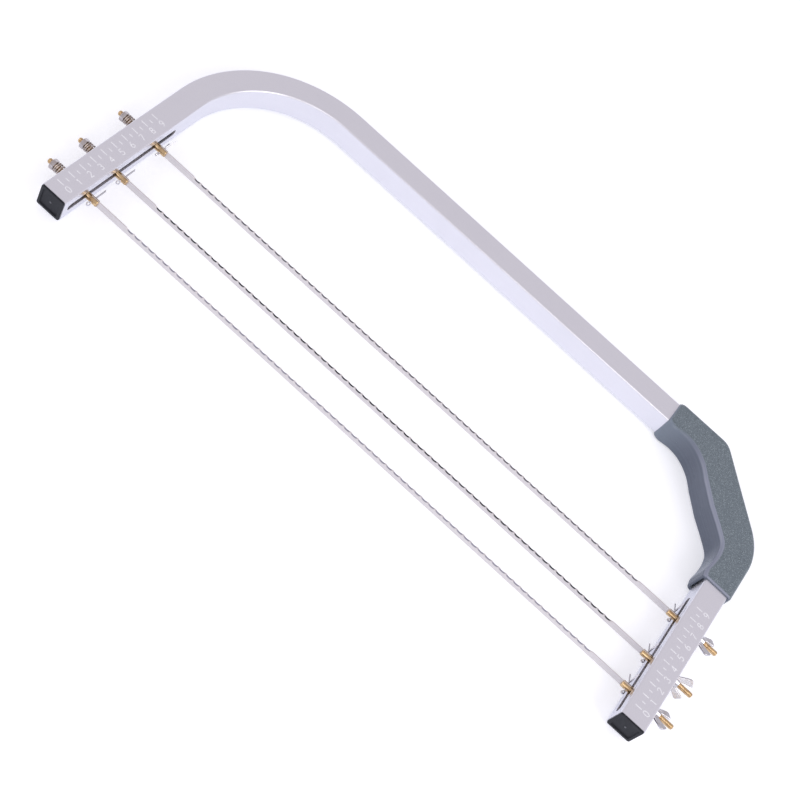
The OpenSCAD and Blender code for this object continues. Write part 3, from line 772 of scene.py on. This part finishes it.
def grip_half(front):
    """Half of the grip as a thick skin: at each station an outer line (inner side, edge round,
    face, edge round, outer side) and a line of as many points round the tube's channel, drawn along
    the loft. Towards both ends the outer line draws in by a quarter round, and on the outer side of
    the upper end by the square of the distance left to the round's start. Near the lower end the
    outer side reaches further down, by the skirt times the square of the distance from the inner
    side."""
    rim = GRIP_RIM_R * (1 - np.cos(np.linspace(0, np.pi / 2, RIM_STEPS)))[:-1]
    straight = np.linspace(GRIP_RIM_R, GRIP_L - GRIP_RIM_R, GRIP_STATIONS)
    s = np.concatenate([rim, straight, (GRIP_L - rim)[::-1]])
    near_end = np.clip(1 - np.minimum(s, GRIP_L - s) / GRIP_RIM_R, 0, 1)
    draw_in = 1 - np.sqrt(1 - near_end**2)
    centre, out = grip_line(s)
    r0 = (GRIP_BASE - GRIP_SWELL * swell_at(s / GRIP_L) + GRIP_INNER_RIM_R * draw_in)[:, None]
    corner = GRIP_END_ROUND * np.clip(1 - s / GRIP_END_ROUND_L, 0, 1) ** 2
    r1 = (outside_at(out) - np.maximum(GRIP_RIM_R * draw_in, corner))[:, None]
    top = GRIP_DEPTH / 2 - GRIP_RIM_R * draw_in[:, None]
    e = GRIP_EDGE_R
    left = np.radians(np.linspace(180, 90, EDGE_STEPS))
    right = np.radians(np.linspace(90, 0, EDGE_STEPS))
    share = np.linspace(0, 1, FLAT_STEPS + 2)[1:-1]
    level = np.zeros(SIDE_STEPS)
    outer_r = np.concatenate([r0 + level, r0 + e + e * np.cos(left),
                              r0 + e + share * (r1 - r0 - 2 * e),
                              r1 - e + e * np.cos(right), r1 + level], 1)
    rise = PARTING + np.linspace(0, 1, SIDE_STEPS + 1)[:-1] * (top - e - PARTING)
    outer_z = np.concatenate([rise, top - e + e * np.sin(left), top + 0 * share,
                              top - e + e * np.sin(right), rise[:, ::-1]], 1)
    inner_r, inner_z = channel_line(s)
    r = np.concatenate([outer_r, inner_r[:, ::-1]], 1)
    z = np.concatenate([outer_z, inner_z[:, ::-1]], 1)
    along = (s - GRIP_TOP_L - GRIP_ARC_L) / GRIP_LEG_L
    across = np.clip((r - GRIP_BASE) / (GRIP_SIDE - GRIP_BASE), 0, None)
    skirt = GRIP_SKIRT * np.clip(along, 0, None)[:, None] * across**2
    x = centre[:, :1] + out[:, :1] * r
    y = centre[:, 1:] + out[:, 1:] * r - skirt
    points = np.stack([x, y, z if front else -z], -1)
    rows, cols = points.shape[:2]
    j = np.arange(cols // 2 - 1)
    strip = np.stack([j, j + 1, cols - 2 - j, cols - 1 - j], -1)
    faces = [quads(rows, cols), strip[:, ::-1], strip + (rows - 1) * cols]
    return points.reshape(-1, 3), np.concatenate(faces).tolist()


def channel_line(s):
    """The channel's section beside the outer line: up its inner side, across, and down its outer
    side; its inner side steps back by half the lip inside the pocket at the lower end."""
    wall = TUBE / 2 + GRIP_GAP
    pocket_half = TUBE / 2 - GRIP_FACE
    inside = np.clip((s - (GRIP_L - LIP_POCKET_L)) / LIP_POCKET_STEP, 0, 1)
    inner = BEND_R - wall - inside * (GRIP_INNER_WALL + GRIP_SWELL * LIP_SHARE) / 2
    up = SIDE_STEPS + EDGE_STEPS
    r_across = BEND_R - wall + 2 * wall * np.linspace(0, 1, FLAT_STEPS + 2)[1:-1]
    r = np.concatenate([
        np.repeat(inner[:, None], up - 2, 1), np.full((len(s), 2), BEND_R - wall),
        np.broadcast_to(r_across, (len(s), FLAT_STEPS)), np.full((len(s), up), BEND_R + wall),
    ], 1)
    z = np.concatenate([np.linspace(PARTING, pocket_half, up - 2), [pocket_half, wall],
                        np.full(FLAT_STEPS, wall), np.linspace(wall, PARTING, up)])
    return r, np.broadcast_to(z, r.shape)


def cut_screw_pockets(piece):
    """Two round pockets from the back of the rear shell down to the screws' seats, cut with a
    Boolean modifier whose result becomes the mesh."""
    shells = []
    for turn in SCREW_TURNS:
        a = math.radians(turn)
        ring = round_section(SCREW_POCKET_D / 2, 40)
        middle = (BEND_X + SCREW_R * math.cos(a), BEND_Y + SCREW_R * math.sin(a))
        depth = np.array([-GRIP_DEPTH / 2 - 2, -GRIP_DEPTH / 2 + SCREW_SINK])
        rings = np.broadcast_to(ring + middle, (2, *ring.shape))
        levels = np.broadcast_to(depth[:, None, None], (2, len(ring), 1))
        shells.append(closed_grid(np.concatenate([rings, levels], -1)))
    cutter = make_piece("pocket_cutter", shells, GRIP_PLASTIC)
    cut = piece.modifiers.new("screw_pockets", "BOOLEAN")
    cut.operation = "DIFFERENCE"
    cut.object = cutter
    cut.solver = "EXACT"
    bpy.context.view_layer.update()
    evaluated = piece.evaluated_get(bpy.context.evaluated_depsgraph_get())
    result = bpy.data.meshes.new_from_object(evaluated)
    piece.modifiers.clear()
    piece.data = result
    result.shade_smooth()
    result.set_sharp_from_angle(angle=math.radians(CREASE))
    bpy.data.objects.remove(cutter)


def grip_shells():
    """The two halves of the grip, which meet at mid depth with a fine groove between them."""
    for half in ("front", "rear"):
        node = f"{half}_grip_shell"
        shell = grip_half(half == "front")
        piece = make_piece(f"grip_{half}", [shell], GRIP_PLASTIC)
        if half == "rear":
            cut_screw_pockets(piece)
        round_edges(piece, 0.15)
        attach(piece, "root")
        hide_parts(node)


# End caps


def end_cap(side):
    """A plug closed by a flange: square rings from the recess's floor over the rim and the flange
    to the plug's end, and a low dot at the recess's middle."""
    plug_end = CAP_FLANGE + CAP_PLUG_L
    rings = np.array([
        *CAP_FACE, (CAP_FLANGE, CAP_SIDE, CAP_CORNER), (CAP_FLANGE, CAP_PLUG, CAP_PLUG_CORNER),
        (plug_end - CAP_PLUG_CHAMFER, CAP_PLUG, CAP_PLUG_CORNER),
        (plug_end, CAP_PLUG - CAP_PLUG_CHAMFER, CAP_PLUG_CHAMFER),
    ])
    squares = np.stack([square_ring(half, corner) for _, half, corner in rings])
    heights = rings[:, :1] + 0 * squares[..., 0]
    body = np.stack([squares[..., 0] + side * LEG_X, heights, squares[..., 1]], -1)
    dot = turned(*np.array(CAP_DOT).T, 28)
    dot = dot[..., [1, 0, 2]] + (side * LEG_X, 0, 0)
    name = SIDE_NAMES[side]
    shells = [closed_grid(body), closed_grid(dot)]
    piece = make_piece(f"{name}_foot_cap", shells, CAP_PLASTIC, 35)
    keep_flats(piece)
    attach(piece, "root")
    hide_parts(f"{name}_end_cap")


# Studs, pins, springs and nuts


def stud_prong(sign):
    """One cheek of the slitted head: a segment of the round head beyond the slit, drawn in at the
    end by a small chamfer."""
    x, drawn_in = np.array([*HEAD_END, (SLIT_L, 0)]).T
    r = HEAD_D / 2 - drawn_in[:, None]
    half = np.arcsin(SLIT_W / 2 / r)
    a = half + np.linspace(0, 1, 33)[None, :] * (np.pi - 2 * half)
    arc_z, arc_y = r * np.cos(a), r * np.sin(a)
    return closed_grid(np.stack([np.broadcast_to(x[:, None], a.shape), sign * arc_y, arc_z], -1))


def stud_body():
    """From the slit's floor to the tip: the plain head, a shoulder, then the thread, whose radius
    falls from the crest by a triangle wave of x over the pitch less the turn."""
    plain_x = [SLIT_L - SLIT_OVERLAP, STUD_HEAD_L - SHOULDER, STUD_HEAD_L, STUD_HEAD_L]
    plain_r = [HEAD_D / 2, HEAD_D / 2, HEAD_D / 2 - SHOULDER, THREAD_D / 2 - THREAD_DEPTH]
    x = np.linspace(STUD_HEAD_L + THREAD_START, STUD_L, THREAD_ROWS)[:, None]
    turn = (np.arange(THREAD_SIDES) / THREAD_SIDES)[None, :]
    wave = np.abs(((x / THREAD_PITCH - turn) % 1) * 2 - 1)
    crest = np.minimum(THREAD_D / 2, THREAD_D / 2 - TIP_CHAMFER + (STUD_L - x) * TIP_SLOPE)
    thread = crest - THREAD_DEPTH * np.clip(wave * THREAD_FLANK - THREAD_CREST, 0, 1)
    plain = turned(plain_x, plain_r, THREAD_SIDES)
    return closed_grid(np.concatenate([plain, turned(x, thread, THREAD_SIDES)]))


def stud(side, k):
    """A stud with its head towards the blade."""
    start = LEFT_HEAD_X if side < 0 else RIGHT_HEAD_X
    shells = [stud_prong(1), stud_prong(-1), stud_body()]
    shells = moved(shells, (start, BLADE_HEIGHTS[k], 0), lambda p: p * (side, 1, 1))
    name = SIDE_NAMES[side]
    piece = make_piece(f"{name}_threaded_stud_{k + 1}", shells, STUD_BRASS, 30)
    keep_flats(piece)
    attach(piece, f"blade_set_{k + 1}")
    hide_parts(f"{name}_stud_{k + 1}")


def pin_path(open_legs):
    """The flat inner line of a split pin's wire: down one leg, round a long eye and up the other.
    Across the head the legs lie together; the eye widens by a smooth step to its half width on
    each side."""
    lean = PIN_SPREAD if open_legs else 0.0

    def leg(length):
        reach = np.linspace(0, 1, 9) * length
        bent = np.where(reach < PIN_BEND_L, reach**2 / (2 * PIN_BEND_L), reach - PIN_BEND_L / 2)
        return np.stack([PIN_HALF_GAP + bent * math.sin(lean),
                         HEAD_D / 2 + reach - bent * (1 - math.cos(lean))], -1)

    t = np.linspace(0, 1, 12)[1:]
    widen = np.stack([PIN_HALF_GAP + (PIN_EYE_HALF - PIN_HALF_GAP) * t**2 * (3 - 2 * t),
                      PIN_NECK + (PIN_EYE_WIDEST - PIN_NECK) * t], -1)
    levels = (PIN_STRAIGHT, -PIN_STRAIGHT, PIN_NECK)
    straight = np.array([[PIN_HALF_GAP, level] for level in levels])
    a = np.linspace(0, -np.pi, 17)
    bottom = PIN_EYE_HALF * np.stack([np.cos(a), np.sin(a)], -1) + (0, PIN_EYE_LOW)
    right, left = (
        np.concatenate([leg(length)[::-1], straight, widen]) for length in PIN_LEG_LENGTHS
    )
    return np.concatenate([right, bottom, left[::-1] * (-1, 1)])


def split_pin(side, k):
    """Half-round wire carried along the pin's line, its flat inwards."""
    open_legs = PIN_OPEN[side][k]
    line = pin_path(open_legs)
    path = np.stack([line[:, 0], line[:, 1], 0 * line[:, 0]], -1)
    a = np.linspace(-np.pi / 2, np.pi / 2, 11)
    section = PIN_WIRE_R * np.stack([-np.cos(a), np.sin(a)], -1)
    shell = sweep(path, section, (0, 0, -1))
    x = LEFT_HEAD_X - PIN_SETBACK if side < 0 else RIGHT_HEAD_X + PIN_SETBACK
    turn = -PIN_TURN if open_legs else 0.0
    shells = moved([shell], (x, BLADE_HEIGHTS[k], 0), lambda p: about_y(p, turn))
    name = SIDE_NAMES[side]
    piece = make_piece(f"{name}_pin_wire_{k + 1}", shells, PIN_STEEL, 50)
    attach(piece, f"blade_set_{k + 1}")
    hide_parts(f"{name}_split_pin_{k + 1}")


def coil_spring(k):
    """A round wire on a helix whose coils lie close at both ends: x falls by t less a sine share of
    one turn of t, while the angle grows evenly."""
    t = np.linspace(0, 1, int(COIL_TURNS * COIL_STEPS) + 1)
    eased = t - COIL_CLOSING * np.sin(2 * np.pi * t) / (2 * np.pi)
    x = -SPRING_WIRE_R - (SPRING_L - 2 * SPRING_WIRE_R) * eased
    a = 2 * np.pi * COIL_TURNS * t
    path = np.stack([x, COIL_R * np.cos(a), COIL_R * np.sin(a)], -1)
    outward = np.stack([0 * a, np.cos(a), np.sin(a)], -1)
    shell = sweep(path, round_section(SPRING_WIRE_R, 10), outward)
    shells = moved([shell], (-OUTER_X, BLADE_HEIGHTS[k], 0))
    piece = make_piece(f"coil_spring_{k + 1}", shells, SPRING_STEEL, 60)
    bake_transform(piece)
    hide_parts(f"spring_{k + 1}")


def hex_nut(k):
    """Six flats with their corners drawn back by a cone on both faces: the flat's distance at angle
    a is half the width over the cosine of a from its middle, and the cone meets it further in at a
    corner."""
    a = np.arange(72) * 2 * np.pi / 72
    flat_r = HEX_W / 2 / np.cos((a + np.pi / 6) % (np.pi / 3) - np.pi / 6)
    one = np.ones(len(a))
    face_r = (HEX_W / 2 - HEX_CORNER) * one
    fall = (flat_r - face_r) * math.tan(math.radians(30))
    bore = (THREAD_D / 2 + BORE_PLAY) * one
    sunk = bore + HEX_SINK
    x = np.stack([HEX_SINK * one, 0 * one, 0 * one, fall, HEX_T - fall, HEX_T * one, HEX_T * one,
                  (HEX_T - HEX_SINK) * one])
    r = np.stack([bore, sunk, face_r, flat_r, flat_r, face_r, sunk, bore])
    points = np.stack([-x, r * np.cos(a), r * np.sin(a)], -1)
    shells = moved([ring_grid(points)], (-OUTER_X - SPRING_L, BLADE_HEIGHTS[k], 0))
    piece = make_piece(f"spring_nut_{k + 1}", shells, HEX_NUT_METAL, 28)
    round_edges(piece, 0.08, 28)
    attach(piece, f"blade_set_{k + 1}")
    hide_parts(f"hex_nut_{k + 1}")


def wing_plate(side):
    """One wing: a smooth outline whose rings are drawn in towards both faces by a quarter round."""
    outline = smooth_loop(WING_SHARES * (side * WING_SPAN / 2, WING_H))
    tangent = unit(np.roll(outline, -1, 0) - np.roll(outline, 1, 0))
    inward = np.stack([-tangent[:, 1], tangent[:, 0]], -1) * side
    a = np.radians(np.linspace(0, 90, 5))
    inset, rise = WING_ROUND * (1 - np.sin(a)), WING_ROUND * (1 - np.cos(a)) - WING_T / 2
    inset, level = np.concatenate([inset, inset[::-1]]), np.concatenate([rise, -rise[::-1]])
    flat = outline[None] + inset[:, None, None] * inward[None]
    level = np.broadcast_to(level[:, None], flat.shape[:2])
    return closed_grid(np.stack([flat[..., 1], flat[..., 0], level], -1))


def wing_nut(k):
    """A hub round the thread with two upright wings, turned to its place on the stud."""
    bore = THREAD_D / 2 + BORE_PLAY
    hub = np.array([
        (HUB_SINK, bore), (0, bore + HUB_SINK), (0, HUB_D / 2 - HUB_FOOT), (HUB_FOOT, HUB_D / 2),
        (HUB_H * 0.28, HUB_D / 2), (HUB_H * 0.4, HUB_D / 2 - 0.35), (HUB_H - 0.5, HUB_D * 0.41),
        (HUB_H - 0.12, HUB_D * 0.39), (HUB_H, HUB_D * 0.36), (HUB_H, bore + HUB_SINK),
        (HUB_H - HUB_SINK, bore),
    ])
    shells = [ring_grid(turned(*hub.T, 64)), wing_plate(1), wing_plate(-1)]
    turn = math.radians(WING_TURNS[k])
    shells = moved(shells, (OUTER_X + NUT_GAP, BLADE_HEIGHTS[k], 0), lambda p: about_x(p, turn))
    piece = make_piece(f"wing_nut_form_{k + 1}", shells, WING_NUT_METAL, 35)
    keep_flats(piece)
    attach(piece, f"tension_nut_{k + 1}")
    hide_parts(f"wing_nut_{k + 1}")


# Scale


def arc(cx, cy, rx, ry, start, stop, steps=22):
    """Points of an ellipse from start to stop in degrees: centre + (rx cos a, ry sin a)."""
    a = np.radians(np.linspace(start, stop, steps))
    return np.stack([cx + rx * np.cos(a), cy + ry * np.sin(a)], -1)


def bends(*corners):
    """Straight lines from corner to corner, five points to each."""
    return np.concatenate([np.linspace(a, b, 5) for a, b in zip(corners, corners[1:])])


def digit_strokes():
    """The plain figures 0 to 9 as strokes in a box 0.6 wide and 1 high."""
    six = [arc(0.30, 0.29, 0.24, 0.25, 0, 360), arc(0.56, 0.30, 0.50, 0.66, 180, 104)]
    nine = [np.array([0.6, 1.0]) - stroke for stroke in six]
    return [
        [arc(0.30, 0.5, 0.25, 0.46, 0, 360, 34)],
        [bends((0.16, 0.80), (0.32, 0.96), (0.32, 0.04))],
        [np.concatenate([arc(0.30, 0.71, 0.23, 0.25, 165, -32),
                         bends((0.46, 0.52), (0.06, 0.04), (0.56, 0.04))])],
        [np.concatenate([arc(0.28, 0.735, 0.21, 0.225, 150, -90),
                         arc(0.28, 0.275, 0.25, 0.235, 90, -150)])],
        [bends((0.56, 0.28), (0.04, 0.28), (0.42, 0.96), (0.42, 0.04))],
        [np.concatenate([bends((0.52, 0.96), (0.14, 0.96), (0.10, 0.53)),
                         arc(0.29, 0.32, 0.25, 0.28, 130, -150)])],
        six,
        [bends((0.06, 0.96), (0.54, 0.96), (0.22, 0.04))],
        [arc(0.30, 0.73, 0.20, 0.22, 0, 360), arc(0.30, 0.27, 0.24, 0.24, 0, 360)],
        nine,
    ]


def bead(stroke, half_width):
    """A flat bead of paint along a stroke on the front face: an ellipse of the stroke's half width
    and a few hundredths of height, carried along it."""
    step = np.linalg.norm(np.diff(stroke, axis=0), axis=1)
    stroke = stroke[np.concatenate([[True], step > 1e-4])]
    level = np.full(len(stroke), TUBE / 2 + PAINT_LIFT)
    path = np.stack([stroke[:, 0], stroke[:, 1], level], -1)
    return sweep(path, round_section(1.0, 8) * (half_width, PAINT_RISE), (0, 0, 1))


def mark(ends, y):
    """A level mark from one end to the other."""
    return bead(np.linspace((ends[0], y), (ends[1], y), 4), MARK_HALF_W)


def leg_scale(side):
    """Ten figures and their marks on a leg's front: each figure reads up the leg, its top towards
    the left, with a long mark beside it and a short one halfway to the next."""
    shells = []
    figures = digit_strokes()
    for n, strokes in enumerate(figures):
        y = FIRST_MARK_Y[side] + n * MARK_PITCH
        shells.append(mark(LONG_MARK[side], y))
        if n < len(figures) - 1:
            shells.append(mark(SHORT_MARK[side], y + MARK_PITCH / 2))
        for stroke in strokes:
            x = DIGIT_FOOT[side] - stroke[:, 1] * DIGIT_H
            rise = y + (stroke[:, 0] - DIGIT_MIDDLE) * DIGIT_H
            shells.append(bead(np.stack([x, rise], -1), DIGIT_HALF_W))
    piece = make_piece(f"{SIDE_NAMES[side]}_scale", shells, SCALE_PAINT, 60)
    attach(piece, "root")


# CAD nodes that stay


def dress(node, material):
    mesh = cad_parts[node].data
    mesh.materials.clear()
    mesh.materials.append(material)


# Stage


def floor():
    """A plain white floor: its own colour is pale, and what the camera sees of it is lifted to
    white by a little emission, so a soft shadow stays, and by more of it far out, where the lamps'
    light fades; the mirror-like faces see it a little blue."""
    bpy.ops.mesh.primitive_plane_add(size=FLOOR_SIZE)
    piece = bpy.context.object
    piece.name = "floor"
    material, tree, shader = start_material("floor_white", (0.74, 0.74, 0.76), 0.8, specular=0.2)
    path = tree.nodes.new("ShaderNodeLightPath")
    camera_ray, glossy_ray = path.outputs["Is Camera Ray"], path.outputs["Is Glossy Ray"]
    colour = tint(tree, glossy_ray, (0.96, 0.97, 1.0), (0.755, 0.83, 1.0))
    tree.links.new(colour, shader.inputs["Emission Color"])
    reach = tree.nodes.new("ShaderNodeVectorMath")
    reach.operation = "LENGTH"
    tree.links.new(object_point(tree), reach.inputs[0])
    near, far, in_mirrors = FLOOR_LIFT
    far_out = band(tree, reach.outputs["Value"], *FAR_BAND)
    seen = times(tree, camera_ray, plus(tree, times(tree, far_out, far), near))
    tree.links.new(plus(tree, seen, times(tree, glossy_ray, in_mirrors)),
                   shader.inputs["Emission Strength"])
    piece.data.materials.append(material)


def lamp(name, place, target, size, power):
    light = bpy.data.lights.new(name, "AREA")
    light.shape = "DISK"
    light.size = size
    light.energy = power
    rig = bpy.data.objects.new(name, light)
    rig.location = place
    rig.rotation_euler = (Vector(target) - Vector(place)).to_track_quat("-Z", "Y").to_euler()
    bpy.context.scene.collection.objects.link(rig)


def studio():
    """A pale room, white to the camera, with soft lamps: a key from the right, one low on the left
    for the grip's edge, and one from the front."""
    world = bpy.data.worlds.new("studio")
    bpy.context.scene.world = world
    world.use_nodes = True
    tree = world.node_tree
    path = tree.nodes.new("ShaderNodeLightPath")
    back = tree.nodes["Background"]
    colour = tint(tree, path.outputs["Is Camera Ray"], (0.647, 0.627, 0.676), (1.0, 1.0, 1.0))
    tree.links.new(colour, back.inputs["Color"])
    back.inputs["Strength"].default_value = 1.0
    for settings in LAMPS:
        lamp(*settings)


def camera():
    """The photograph's camera: it looks down over the feet, rolled so that the bow leans."""
    data = bpy.data.cameras.new("camera")
    data.lens = CAMERA_LENS
    data.sensor_width = 36
    data.clip_start = 0.01
    rig = bpy.data.objects.new("camera", data)
    turn = Matrix((CAMERA_RIGHT, CAMERA_UP, -CAMERA_AHEAD)).transposed().to_4x4()
    rig.matrix_world = Matrix.Translation(CAMERA_PLACE) @ turn
    bpy.context.scene.collection.objects.link(rig)
    bpy.context.scene.camera = rig


bpy.context.scene.view_settings.view_transform = "Standard"
camera()
studio()
floor()
dress("bow_tube", BOW_METAL)
dress("grip_screws", SCREW_STEEL)
grip_shells()
for leg in (-1, 1):
    end_cap(leg)
    leg_scale(leg)
for blade in range(3):
    dress(f"blade_{blade + 1}", BLADE_STEEL)
    for leg in (-1, 1):
        stud(leg, blade)
        split_pin(leg, blade)
    coil_spring(blade)
    hex_nut(blade)
    wing_nut(blade)
